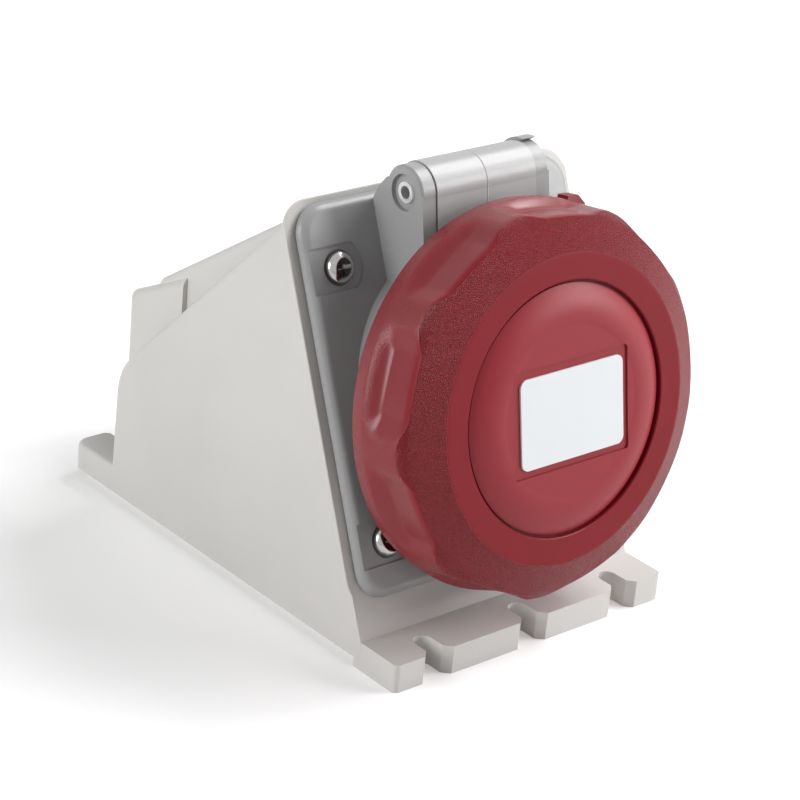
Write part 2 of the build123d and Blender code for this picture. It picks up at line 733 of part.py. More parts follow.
def gland_body():
    """Threaded body of the cable gland, with a hexagon outside the box."""
    shank = Pos(0, -8, 0) * Rot(-90, 0, 0) * Cylinder(entry_r, 20, align=low)
    hexagon = Pos(0, 0.5, 0) * Rot(-90, 0, 0) * extrude(
        RegularPolygon(gland_flats / 2, 6, major_radius=False, rotation=30), amount=8)
    body = shank + hexagon
    body -= Pos(0, -10, 0) * Rot(-90, 0, 0) * Cylinder(cable_bore_r + 0.6, 60, align=low)
    body -= Pos(0, 5, 0) * Rot(-90, 0, 0) * Cylinder(17.2, 30, align=low)
    return Pos(0, block_rear_y, entry_z) * body


def gland_seal():
    """Rubber sleeve squeezed by the gland nut."""
    body = Rot(-90, 0, 0) * tube(17.2, cable_bore_r, 5, 17)
    return Pos(0, block_rear_y, entry_z) * body


def gland_nut():
    """Domed hexagon nut of the gland."""
    nut = Pos(0, 8.9, 0) * Rot(-90, 0, 0) * extrude(
        RegularPolygon(gland_flats / 2 - 0.5, 6, major_radius=False, rotation=30), amount=14)
    nut = nut & Rot(-90, 0, 0) * turned([(0, 8.9), (26.0, 8.9), (26.0, 15.0), (20.5, 22.9), (0, 22.9)])
    nut -= Rot(-90, 0, 0) * disc(entry_r, 0, 12.1)
    nut -= Rot(-90, 0, 0) * disc(17.2, 0, 17)
    nut -= Rot(-90, 0, 0) * disc(cable_bore_r + 0.6, 0, 40)
    return Pos(0, block_rear_y, entry_z) * nut


parts = {
    "wall_box": wall_box(),
    "flange_gasket": flange_gasket(),
    "socket_flange": socket_flange(),
    "flange_screws": flange_screws(),
    "contact_insert": contact_insert(),
    "insert_cover": insert_cover(),
    "insert_screws": insert_screws(),
    "contact_pilot": pilot_contact(),
    "terminal_screws": terminal_screws(),
    "hinge_pin": hinge_pin(),
    "lid_spring": lid_spring(),
    "gland_body": gland_body(),
    "gland_seal": gland_seal(),
    "gland_nut": gland_nut(),
    "locking_ring": locking_ring(),
    "lid_disc": lid_disc(),
    "label_plate": label_plate(),
    "lid_bracket": lid_bracket(),
    "lid_seal": lid_seal(),
    "lid_screws": lid_screws(),
}
for pole, pole_angle in contact_places().items():
    parts["contact_" + pole] = contact(pole, pole_angle)

os.makedirs("parts", exist_ok=True)
for node, shape in parts.items():
    export_step(shape, "parts/" + node + ".step")
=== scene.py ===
"""Industrial wall socket: finishes, the soft-edged locking ring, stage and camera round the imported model."""

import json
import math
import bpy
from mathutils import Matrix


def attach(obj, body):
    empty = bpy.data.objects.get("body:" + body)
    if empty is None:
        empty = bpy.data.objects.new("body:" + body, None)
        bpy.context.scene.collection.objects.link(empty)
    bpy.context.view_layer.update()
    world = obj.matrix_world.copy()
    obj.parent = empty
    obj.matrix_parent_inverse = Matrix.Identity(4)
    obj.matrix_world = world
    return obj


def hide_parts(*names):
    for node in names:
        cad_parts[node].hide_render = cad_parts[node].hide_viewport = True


bl_info = {
    "name": "Industrial wall socket",
    "version": (1, 0, 0),
    "blender": (4, 5, 0),
    "location": "3D View > Sidebar > Socket",
    "description": "Finishes and stage for an angled wall socket with a bayonet locking ring",
    "category": "Object",
}

import bmesh
import bpy
from mathutils import Matrix, Vector

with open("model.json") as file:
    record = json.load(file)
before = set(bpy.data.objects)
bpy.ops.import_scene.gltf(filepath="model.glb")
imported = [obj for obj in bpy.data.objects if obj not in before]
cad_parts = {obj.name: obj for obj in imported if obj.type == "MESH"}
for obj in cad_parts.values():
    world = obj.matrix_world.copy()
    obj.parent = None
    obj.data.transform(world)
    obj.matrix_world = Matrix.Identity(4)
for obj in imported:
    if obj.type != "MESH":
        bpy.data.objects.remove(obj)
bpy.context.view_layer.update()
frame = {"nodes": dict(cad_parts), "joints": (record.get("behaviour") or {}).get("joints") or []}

joints = {joint["name"]: joint for joint in frame["joints"]}
ring_centre = Vector(joints["ring_turn"]["pos_m"])
ring_normal = Vector(joints["ring_turn"]["axis"]).normalized()
ring_up = Vector((0.0, ring_normal.z, -ring_normal.y))


# Properties that a user would change

def colour_property(name, description, default):
    """A linear colour with the picker's usual range."""
    return bpy.props.FloatVectorProperty(name=name, description=description, default=default,
                                         subtype="COLOR", size=3, min=0.0, max=1.0)


def length_property(name, description, default, low=0.0):
    """A size in metres."""
    return bpy.props.FloatProperty(name=name, description=description, default=default, min=low, max=1.0,
                                   unit="LENGTH", precision=5)


def angle_property(name, description, degrees):
    """An angle, given in degrees and kept in radians."""
    return bpy.props.FloatProperty(name=name, description=description, default=math.radians(degrees),
                                   subtype="ANGLE")


def number_property(name, description, default, high):
    """A plain number from zero up."""
    return bpy.props.FloatProperty(name=name, description=description, default=default, min=0.0, max=high)


class SocketFinishes(bpy.types.PropertyGroup):
    """Colours of the pieces and the size of their moulded grain"""
    box_colour: colour_property("Box", "Pale warm grey of the wall box", (0.615, 0.60, 0.58))
    # The flange and the bracket are one grey plastic: the flange's darker grey is painted shade under the lid,
    # and the bracket's lighter grey is painted light on the hinge barrel
    flange_shaded_colour: colour_property("Flange", "Mid grey of the flange", (0.325, 0.325, 0.325))
    bracket_lit_colour: colour_property("Bracket", "Grey of the lid's bracket and hinge barrel", (0.40, 0.40, 0.40))
    ring_colour: colour_property("Ring", "Red of the locking ring", (0.205, 0.009, 0.015))
    disc_colour: colour_property("Disc", "Red of the lid's disc", (0.275, 0.023, 0.031))
    label_colour: colour_property("Label", "White of the blank label", (0.72, 0.74, 0.765))
    rubber_colour: colour_property("Rubber", "Black of the seals", (0.018, 0.018, 0.019))
    insert_colour: colour_property("Insert", "Dark grey of the contact insert", (0.06, 0.06, 0.065))
    gland_colour: colour_property("Gland", "Grey of the cable gland", (0.40, 0.40, 0.40))
    steel_colour: colour_property("Steel", "Colour of the screws and the spring", (0.40, 0.39, 0.385))
    nickel_colour: colour_property("Nickel", "Colour of the hinge pin", (0.90, 0.90, 0.90))
    brass_colour: colour_property("Brass", "Colour of the contacts", (0.72, 0.52, 0.24))
    grain_size: length_property("Grain size", "Pitch of the moulded grain", 0.0006, 0.0001)
    grain_depth: length_property("Grain depth", "Height of the moulded grain", 0.00003)


class SocketRingShape(bpy.types.PropertyGroup):
    """Sizes of the locking ring; radii from its axis, depths behind its flat front"""
    grip_count: bpy.props.IntProperty(name="Grips", description="Number of finger scallops round the ring",
                                      default=9, min=3, max=24)
    grip_turn: angle_property("Grip turn", "Angle of the middle of the topmost scallop", 83.0)
    floor_flatness: number_property("Flatness", "One for flat scallop floors, zero for round ones", 0.7, 1.0)
    bore_radius: length_property("Bore", "Radius of the hole round the disc", 0.0375)
    lip_radius: length_property("Lip", "Radius of the lip under the disc", 0.03525)
    face_radius: length_property("Face", "Outer radius of the flat front", 0.0454)
    edge_radius: length_property("Cone", "Outer radius of the cone", 0.0553)
    edge_depth: length_property("Cone depth", "Depth of the cone's outer edge behind the face", 0.0048)
    lobe_radius: length_property("Lobes", "Radius over the lobes between the scallops", 0.05775)
    lobe_depth: length_property("Lobe depth", "Depth at which the lobes reach their radius", 0.0076)
    floor_radius: length_property("Scallops", "Distance of the scallops' floors from the axis", 0.0550)
    wall_depth: length_property("Scallop end", "Depth at which the scallops run out", 0.0208)
    inner_radius: length_property("Inside", "Inner radius of the side wall", 0.0523)
    depth: length_property("Depth", "Depth of the whole ring", 0.0265)
    lug_count: bpy.props.IntProperty(name="Lugs", description="Number of bayonet lugs inside the ring",
                                     default=3, min=1, max=6)
    lug_turn: angle_property("Lug turn", "Angle of the first lug's middle", 30.0)
    lug_half: angle_property("Lug width", "Half the angle that a lug spans", 12.0)
    lug_radius: length_property("Lugs inside", "Inner radius of the lugs", 0.0434)
    lug_front: length_property("Lug front", "Depth of the lugs' front", 0.0193)
    lug_rear: length_property("Lug rear", "Depth of the lugs' rear", 0.0240)
    pointer_turn: angle_property("Pointer turn", "Angle of the small pointer on the rear rim", 64.0)
    pointer_half: angle_property("Pointer width", "Half the angle that the pointer spans", 3.6)
    pointer_radius: length_property("Pointer", "Radius of the pointer's tip", 0.0606)
    pointer_length: length_property("Pointer length", "Length of the pointer forward of the rear", 0.0050)
    pointer_taper: length_property("Pointer taper", "Fall of the pointer's top to its sides", 0.0014)


class SocketStage(bpy.types.PropertyGroup):
    """The photograph's camera, the floor and the lamps"""
    azimuth: angle_property("Azimuth", "Camera's turn round the socket", -42.35)
    elevation: angle_property("Elevation", "Camera's height above the horizon", 24.74)
    roll: angle_property("Roll", "Camera's roll", 5.33)
    distance: length_property("Distance", "Camera's distance from the middle", 0.79242, 0.1)
    aim_right: length_property("Aim right", "Sideways offset of the camera", -0.03384, -1.0)
    aim_up: length_property("Aim up", "Upward offset of the camera", 0.01187, -1.0)
    lens: number_property("Lens", "Focal length in millimetres on a 36 mm sensor", 122.81, 500.0)
    floor_colour: colour_property("Floor", "Colour of the floor", (0.86, 0.86, 0.86))
    floor_lift: number_property("Floor lift", "White that the floor shows beyond its colour", 0.26, 1.0)
    key_power: number_property("Key lamp", "Power of the key lamp in watts", 12.0, 100.0)
    side_power: number_property("Side lamp", "Power of the side lamp in watts", 15.5, 100.0)
    top_power: number_property("Top lamp", "Power of the top lamp in watts", 12.0, 100.0)
    low_power: number_property("Low lamp", "Power of the low lamp in watts", 15.0, 100.0)
    sky_strength: number_property("Sky", "Strength of the plain surroundings", 0.2, 2.0)


# Material helpers

def new_material(name):
    """An empty node material with a shader and an output."""
    material = bpy.data.materials.new(name)
    material.use_nodes = True
    nodes = material.node_tree.nodes
    nodes.clear()
    output = nodes.new("ShaderNodeOutputMaterial")
    shader = nodes.new("ShaderNodeBsdfPrincipled")
    material.node_tree.links.new(shader.outputs["BSDF"], output.inputs["Surface"])
    return material, shader


def place(material, kind, **values):
    """A node of a material with its inputs or attributes set."""
    node = material.node_tree.nodes.new(kind)
    for key, value in values.items():
        if key in node.inputs:
            node.inputs[key].default_value = value
        else:
            setattr(node, key, value)
    return node


def join(material, output, target):
    """A link between two sockets of a material."""
    material.node_tree.links.new(output, target)


def mapped(material, value, low, high, start=0.0, end=1.0):
    """A value between start and end carried over to the range from low to high."""
    limits = place(material, "ShaderNodeMapRange")
    limits.inputs["From Min"].default_value = start
    limits.inputs["From Max"].default_value = end
    limits.inputs["To Min"].default_value = low
    limits.inputs["To Max"].default_value = high
    join(material, value, limits.inputs["Value"])
    return limits.outputs["Result"]


def chosen(material, factor, first, second):
    """The first value, a number or a socket, where the factor is zero, and the second where it is one."""
    node = place(material, "ShaderNodeMix", data_type="FLOAT")
    join(material, factor, node.inputs[0])
    if isinstance(first, float):
        node.inputs[2].default_value = first
    else:
        join(material, first, node.inputs[2])
    join(material, second, node.inputs[3])
    return node.outputs[0]


def calculated(material, operation, first, second):
    """The result of a math node on two values."""
    node = place(material, "ShaderNodeMath", operation=operation)
    join(material, first, node.inputs[0])
    join(material, second, node.inputs[1])
    return node.outputs["Value"]


# Most of a noise's values lie between these two
noise_low = 0.3
noise_high = 0.7


def object_noise(material, scale, detail=3.0, roughness=0.55):
    """Noise in the object's own metres, so that it rides with the piece."""
    coordinates = place(material, "ShaderNodeTexCoord")
    noise = place(material, "ShaderNodeTexNoise", Scale=scale, Detail=detail, Roughness=roughness)
    join(material, coordinates.outputs["Object"], noise.inputs["Vector"])
    return noise


def tinted(material, shader, colour, noise, spread):
    """Base colour that drifts a little about its value with a noise."""
    ramp = place(material, "ShaderNodeValToRGB")
    dark, light = ramp.color_ramp.elements
    dark.position, light.position = noise_low, noise_high
    dark.color = (*[part * (1 - spread) for part in colour], 1)
    light.color = (*[min(1.0, part * (1 + spread)) for part in colour], 1)
    join(material, noise.outputs["Fac"], ramp.inputs["Fac"])
    join(material, ramp.outputs["Color"], shader.inputs["Base Color"])
    return ramp.outputs["Color"]


def ranged(material, shader, socket, noise, low, high):
    """A shader value that drifts between two limits with a noise."""
    drift = mapped(material, noise.outputs["Fac"], low, high, noise_low, noise_high)
    join(material, drift, shader.inputs[socket])


def bumped(material, shader, height, depth, strength=1.0):
    """Fine relief from a height."""
    bump = place(material, "ShaderNodeBump", Strength=strength, Distance=depth)
    join(material, height, bump.inputs["Height"])
    join(material, bump.outputs["Normal"], shader.inputs["Normal"])
    return bump


def moulded_plastic(name, colour, rough, finishes, grain=1.0, specular=0.5, spread=0.03):
    """Moulded plastic with a fine grain, slow colour drift and uneven gloss."""
    material, shader = new_material(name)
    broad = object_noise(material, 22.0, 2.0)
    fine = object_noise(material, 1.0 / finishes.grain_size, 3.0, 0.6)
    tinted(material, shader, colour, broad, spread)
    ranged(material, shader, "Roughness", fine, rough - 0.06, rough + 0.06)
    shader.inputs["Specular IOR Level"].default_value = specular
    bumped(material, shader, fine.outputs["Fac"], finishes.grain_depth * grain)
    return material


def bright_metal(name, colour, rough, scale=900.0):
    """Plated metal with faint turning marks."""
    material, shader = new_material(name)
    marks = object_noise(material, scale, 4.0, 0.7)
    shader.inputs["Metallic"].default_value = 1.0
    tinted(material, shader, colour, marks, 0.05)
    ranged(material, shader, "Roughness", marks, rough * 0.7, rough * 1.4)
    bumped(material, shader, marks.outputs["Fac"], 0.00001)
    return material


def seen_directly(tree):
    """One for rays from the camera, off a gloss or through glass, and zero for rays that only light."""
    path = tree.nodes.new("ShaderNodeLightPath")
    total = path.outputs["Is Camera Ray"]
    for name in ("Is Glossy Ray", "Is Transmission Ray"):
        either = tree.nodes.new("ShaderNodeMath")
        either.operation = "MAXIMUM"
        tree.links.new(total, either.inputs[0])
        tree.links.new(path.outputs[name], either.inputs[1])
        total = either.outputs["Value"]
    return total


def dress(node, material):
    """Give a carried-over piece its finish."""
    piece = frame["nodes"][node]
    piece.data.materials.clear()
    piece.data.materials.append(material)
    return piece


def band(material, value, low, high, soft):
    """One inside a range of a value and zero outside, with soft ends."""
    rise = mapped(material, value, 0.0, 1.0, low - soft, low + soft)
    fall = mapped(material, value, 0.0, 1.0, high + soft, high - soft)
    return calculated(material, "MULTIPLY", rise, fall)


# Operators: one for each piece or group of like pieces

class SOCKET_OT_wall_box(bpy.types.Operator):
    """Finish the wall box in pale warm grey with a fine moulded grain"""
    bl_idname = "socket.wall_box"
    bl_label = "Wall box"

    def execute(self, context):
        finishes = context.scene.socket_finishes
        dress("wall_box", moulded_plastic("Box grey", finishes.box_colour, 0.52, finishes, 1.3, 0.35))
        return {"FINISHED"}


class SOCKET_OT_flange(bpy.types.Operator):
    """Finish the flange and the lid's bracket in one grey plastic: the flange darker for painted shade under
    the lid, the bracket lighter for painted light on the hinge barrel
    """
    bl_idname = "socket.flange"
    bl_label = "Flange and bracket"

    def execute(self, context):
        finishes = context.scene.socket_finishes
        flange = moulded_plastic("Flange grey painted shade", finishes.flange_shaded_colour, 0.34, finishes, 1.0, 0.5)
        dress("socket_flange", flange)
        bracket = moulded_plastic("Bracket grey painted light", finishes.bracket_lit_colour, 0.32, finishes, 1.0, 0.5)
        self.parting_line(bracket)
        dress("lid_bracket", bracket)
        return {"FINISHED"}

    def parting_line(self, material):
        """A fine raised line round the middle of the hinge barrel, where the halves of the mould met."""
        nodes = material.node_tree.nodes
        shader = next(node for node in nodes if node.type == "BSDF_PRINCIPLED")
        grain = next(node for node in nodes if node.type == "BUMP")
        coordinates = place(material, "ShaderNodeTexCoord")
        axes = place(material, "ShaderNodeSeparateXYZ")
        join(material, coordinates.outputs["Object"], axes.inputs["Vector"])
        half = 0.00012
        line = band(material, axes.outputs["X"], -half, half, half)
        ridge = place(material, "ShaderNodeBump", Strength=0.8, Distance=0.0002)
        join(material, line, ridge.inputs["Height"])
        join(material, grain.outputs["Normal"], ridge.inputs["Normal"])
        join(material, ridge.outputs["Normal"], shader.inputs["Normal"])


def eased(value, low, high):
    """Zero up to low, one beyond high and a smooth step between."""
    part = min(1.0, max(0.0, (value - low) / (high - low)))
    return part * part * (3 - 2 * part)


def rounded_lesser(first, second, reach):
    """The lesser of two lengths, rounded where they come within reach of each other."""
    part = max(reach - abs(first - second), 0.0) / reach
    return min(first, second) - part * part * reach / 4


def front_radius(shape, depth):
    """Radius of the cone and of the chamfer outside it."""
    cone = shape.face_radius + depth * (shape.edge_radius - shape.face_radius) / shape.edge_depth
    steep = (shape.lobe_radius - shape.edge_radius) / (shape.lobe_depth - shape.edge_depth)
    chamfer = shape.edge_radius + (depth - shape.edge_depth) * steep
    return rounded_lesser(cone, chamfer, 0.0004)


# Where a scallop's rear end starts and stops to rise, forward and rearward of its depth
rise_before = 0.0052
rise_after = 0.0006


def off_scallop(shape, angle):
    """Angle from the middle of the nearest scallop."""
    pitch = 2 * math.pi / shape.grip_count
    return abs((angle - shape.grip_turn + pitch / 2) % pitch - pitch / 2)


def lobe_share(shape, angle, depth):
    """Zero on the floor of a scallop and one on a lobe or on the rear rim."""
    pitch = 2 * math.pi / shape.grip_count
    across = eased(off_scallop(shape, angle), 0.22 * pitch, 0.46 * pitch)
    along = eased(depth, shape.wall_depth - rise_before, shape.wall_depth + rise_after)
    return across + (1 - across) * along


def side_radius(shape, angle, depth):
    """Radius of the side wall: scallop floors that swell softly into lobes and into the rear rim."""
    lobe = shape.lobe_radius + 0.0003 * eased(depth, shape.lobe_depth, shape.wall_depth)
    lobe -= 0.0007 * eased(depth, shape.wall_depth, shape.depth)
    floor = min(lobe, shape.floor_radius / math.cos(off_scallop(shape, angle) * shape.floor_flatness))
    return floor + (lobe - floor) * lobe_share(shape, angle, depth)


def edge_of_cone(shape, angle):
    """Depth at which the front meets the side wall, found by halving."""
    low, high = 0.0, shape.depth / 2
    for _ in range(30):
        middle = (low + high) / 2
        if front_radius(shape, middle) < side_radius(shape, angle, middle):
            low = middle
        else:
            high = middle
    return low


def ring_depths(shape, edge):
    """Depths of the outer points from the face to the rear: close together where the section bends."""
    depths = [0.00012, 0.0005] + [edge * (0.15 + 0.11 * step) for step in range(8)]
    depths += [edge - 0.00022, edge - 0.00012, edge, edge + 0.00015, edge + 0.0004]
    start, level = edge + 0.0004, shape.wall_depth - rise_before
    depths += [start + (level - start) * step / 8 for step in range(1, 8)]
    depths += [level + (rise_before + rise_after) * step / 14 for step in range(15)]
    return depths + [shape.depth - 0.0040, shape.depth - 0.0020, shape.depth - 0.0006]


def grain_share(shape, angle, depth, edge):
    """How strongly the cone's grain and its painted glints show: full on the cone, faint on lobes and rim, none
    in the scallops.
    """
    if depth < edge:
        return 1.0
    return 0.4 * eased(lobe_share(shape, angle, depth), 0.2, 0.9)


def ring_outline(shape, angle):
    """The ring's section at one angle, once round from the bore: radius, depth and share of grain."""
    face, bore, wall, rear = shape.face_radius, shape.bore_radius, shape.inner_radius, shape.depth
    lip, lip_front, lip_rear = shape.lip_radius, 0.0017, 0.0030
    flat = [(bore, 0.0003), (bore + 0.0003, 0.0), (bore + 0.0008, 0.0),
            (face - 0.0008, 0.0), (face - 0.0002, 0.0)]
    points = [(radius, depth, 0.0) for radius, depth in flat]
    edge = edge_of_cone(shape, angle)
    for depth in ring_depths(shape, edge):
        outer = rounded_lesser(front_radius(shape, depth), side_radius(shape, angle, depth), 0.0006)
        points.append((outer, depth, grain_share(shape, angle, depth, edge)))
    rim = side_radius(shape, angle, rear)
    points.append((rim - 0.0001, rear - 0.0002, 1.0))
    inside = [(rim - 0.0004, rear), (rim - 0.0010, rear), (wall + 0.0006, rear), (wall, rear),
              (wall, shape.lobe_depth), (face - 0.0014, lip_rear), (lip, lip_rear),
              (lip, lip_front), (bore, lip_front)]
    return points + [(radius, depth, 0.0) for radius, depth in inside]


def ring_point(angle, radius, depth):
    """A point of the ring in the frame's own space."""
    outward = Vector((math.cos(angle), 0, 0)) + math.sin(angle) * ring_up
    return ring_centre + outward * radius - ring_normal * depth


def ring_block(mesh, inner, outer, front, rear, middle, half, round_off, taper=0.0):
    """A block on the ring between two radii, two depths and two angles, with its edges rounded."""
    corners = []
    steps = 12
    for step in range(steps + 1):
        turn = 2 * step / steps - 1
        tip = outer - taper * abs(turn)
        section = ((inner, front), (tip, front + taper / 2), (tip, rear), (inner, rear))
        corners.append([mesh.verts.new(ring_point(middle + half * turn, *point)) for point in section])
    for here, there in zip(corners, corners[1:]):
        for side in range(4):
            mesh.faces.new((here[side], there[side], there[side - 3], here[side - 3]))
    mesh.faces.new(corners[0][::-1])
    mesh.faces.new(corners[-1])
    around = {edge for row in corners for vert in row for edge in vert.link_edges}
    sharp = [edge for edge in mesh.edges if edge in around and edge.calc_face_angle(0.0) > 0.6]
    bmesh.ops.bevel(mesh, geom=sharp, offset=round_off, segments=3, affect="EDGES", profile=0.5)


class SOCKET_OT_locking_ring(bpy.types.Operator):
    """Make the red locking ring with soft scallops, its inner lugs and its pointer"""
    bl_idname = "socket.locking_ring"
    bl_label = "Locking ring"

    def execute(self, context):
        shape = context.scene.socket_ring
        mesh = bmesh.new()
        self.shell(mesh, shape)
        for turn in range(shape.lug_count):
            middle = shape.lug_turn + 2 * math.pi * turn / shape.lug_count
            ring_block(mesh, shape.lug_radius, shape.inner_radius + 0.0004, shape.lug_front, shape.lug_rear,
                       middle, shape.lug_half, 0.0005)
        ring_block(mesh, shape.lobe_radius - 0.0012, shape.pointer_radius, shape.depth - shape.pointer_length,
                   shape.depth, shape.pointer_turn, shape.pointer_half, 0.0006, shape.pointer_taper)
        bmesh.ops.recalc_face_normals(mesh, faces=mesh.faces)
        data = bpy.data.meshes.new("ring_grip")
        mesh.to_mesh(data)
        mesh.free()
        data.shade_smooth()
        data.set_sharp_from_angle(angle=math.radians(40))
        data.materials.append(self.material(context.scene.socket_finishes))
        piece = bpy.data.objects.new("ring_grip", data)
        context.scene.collection.objects.link(piece)
        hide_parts("locking_ring")
        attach(piece, "locking_ring")
        return {"FINISHED"}

    def shell(self, mesh, shape):
        """The ring's section carried once round the axis, with its grain and its polish kept at each point."""
        grain = mesh.verts.layers.float.new("grain")
        polish = mesh.verts.layers.float.new("polish")
        steps = 720
        rows = []
        for step in range(steps):
            angle = 2 * math.pi * step / steps
            row = []
            for radius, depth, share in ring_outline(shape, angle):
                vert = mesh.verts.new(ring_point(angle, radius, depth))
                vert[grain] = share
                vert[polish] = eased(depth, shape.lobe_depth - 0.0014, shape.lobe_depth)
                row.append(vert)
            rows.append(row)
        count = len(rows[0])
        for step in range(steps):
            here, there = rows[step], rows[(step + 1) % steps]
            for side in range(count):
                following = (side + 1) % count
                mesh.faces.new((here[side], here[following], there[following], there[side]))

    def material(self, finishes):
        """Red plastic with a spark-eroded grain on the cone, flecked there with painted glints, a satin face
        and glossier sides.
        """
        material, shader = new_material("Ring red")
        grain = place(material, "ShaderNodeAttribute", attribute_name="grain").outputs["Fac"]
        polish = place(material, "ShaderNodeAttribute", attribute_name="polish").outputs["Fac"]
        fine = object_noise(material, 3400.0, 3.0, 0.7).outputs["Fac"]
        self.speckled_with_painted_glints(material, shader, finishes.ring_colour, grain, fine)
        self.pitted(material, shader, grain, fine)
        join(material, mapped(material, polish, 0.16, 0.42), shader.inputs["Specular IOR Level"])
        either = calculated(material, "MAXIMUM", grain, polish)
        join(material, mapped(material, either, 0.38, 0.26), shader.inputs["Roughness"])
        return material

    def speckled_with_painted_glints(self, material, shader, colour, grain, fine):
        """Base colour with a slow drift, and darker and lighter flecks where the grain shows: the darker ones
        are the grain's tone, the lighter ones are painted glints.
        """
        drift = tinted(material, shader, colour, object_noise(material, 30.0, 2.0), 0.04)
        # Flecks from 0.62 to 1.75 times the red: below one they are the grain's tone, above one they are
        # painted glints
        specks_and_painted_glints = chosen(material, grain, 1.0, mapped(material, fine, 0.62, 1.75, 0.36, 0.70))
        speckled_with_painted_glints = place(material, "ShaderNodeVectorMath", operation="SCALE")
        join(material, drift, speckled_with_painted_glints.inputs[0])
        join(material, specks_and_painted_glints, speckled_with_painted_glints.inputs["Scale"])
        join(material, speckled_with_painted_glints.outputs["Vector"], shader.inputs["Base Color"])

    def pitted(self, material, shader, grain, fine):
        """Relief: small pits where the grain shows and a faint moulded grain elsewhere."""
        coordinates = place(material, "ShaderNodeTexCoord")
        pebbles = place(material, "ShaderNodeTexVoronoi", Scale=2700.0, Randomness=1.0)
        join(material, coordinates.outputs["Object"], pebbles.inputs["Vector"])
        pits = calculated(material, "ADD", pebbles.outputs["Distance"], fine)
        smooth = object_noise(material, 1500.0, 2.0).outputs["Fac"]
        bump = bumped(material, shader, chosen(material, grain, smooth, pits), 0.0004)
        join(material, mapped(material, grain, 0.04, 1.0), bump.inputs["Strength"])


class SOCKET_OT_lid_disc(bpy.types.Operator):
    """Finish the lid's disc in a slightly paler satin red"""
    bl_idname = "socket.lid_disc"
    bl_label = "Lid disc"

    def execute(self, context):
        finishes = context.scene.socket_finishes
        dress("lid_disc", moulded_plastic("Disc red", finishes.disc_colour, 0.40, finishes, 0.5, 0.25, 0.02))
        return {"FINISHED"}


class SOCKET_OT_label(bpy.types.Operator):
    """Finish the blank label plate in satin white"""
    bl_idname = "socket.label"
    bl_label = "Blank label"

    def execute(self, context):
        finishes = context.scene.socket_finishes
        white = moulded_plastic("Label white", finishes.label_colour, 0.35, finishes, 0.3, 0.5, 0.01)
        dress("label_plate", white)
        return {"FINISHED"}


class SOCKET_OT_fasteners(bpy.types.Operator):
    """Finish screws, hinge pin and spring in bright metal"""
    bl_idname = "socket.fasteners"
    bl_label = "Fasteners"

    def execute(self, context):
        finishes = context.scene.socket_finishes
        screws = bright_metal("Dark bright steel", finishes.steel_colour, 0.16)
        for node in ("flange_screws", "insert_screws", "terminal_screws", "lid_screws", "lid_spring"):
            dress(node, screws)
        dress("hinge_pin", bright_metal("Bright nickel", finishes.nickel_colour, 0.40))
        return {"FINISHED"}


class SOCKET_OT_seals(bpy.types.Operator):
    """Finish the gasket, lid seal and gland seal in black rubber"""
    bl_idname = "socket.seals"
    bl_label = "Seals"

    def execute(self, context):
        finishes = context.scene.socket_finishes
        rubber = moulded_plastic("Black rubber", finishes.rubber_colour, 0.7, finishes, 1.5, 0.3, 0.15)
        for node in ("flange_gasket", "lid_seal", "gland_seal"):
            dress(node, rubber)
        return {"FINISHED"}


class SOCKET_OT_contacts(bpy.types.Operator):
    """Finish the insert in dark plastic and the contacts in brass"""
    bl_idname = "socket.contacts"
    bl_label = "Insert and contacts"

    def execute(self, context):
        finishes = context.scene.socket_finishes
        dark = moulded_plastic("Insert grey", finishes.insert_colour, 0.45, finishes, 0.8, 0.5, 0.05)
        dress("contact_insert", dark)
        dress("insert_cover", dark)
        brass = bright_metal("Contact brass", finishes.brass_colour, 0.28)
        for node in ("contact_l1", "contact_l2", "contact_l3", "contact_n", "contact_earth", "contact_pilot"):
            dress(node, brass)
        return {"FINISHED"}


class SOCKET_OT_gland(bpy.types.Operator):
    """Finish the cable gland in plain grey plastic"""
    bl_idname = "socket.gland"
    bl_label = "Cable gland"

    def execute(self, context):
        finishes = context.scene.socket_finishes
        grey = moulded_plastic("Gland grey", finishes.gland_colour, 0.45, finishes, 1.0, 0.45)
        dress("gland_body", grey)
        dress("gland_nut", grey)
        return {"FINISHED"}


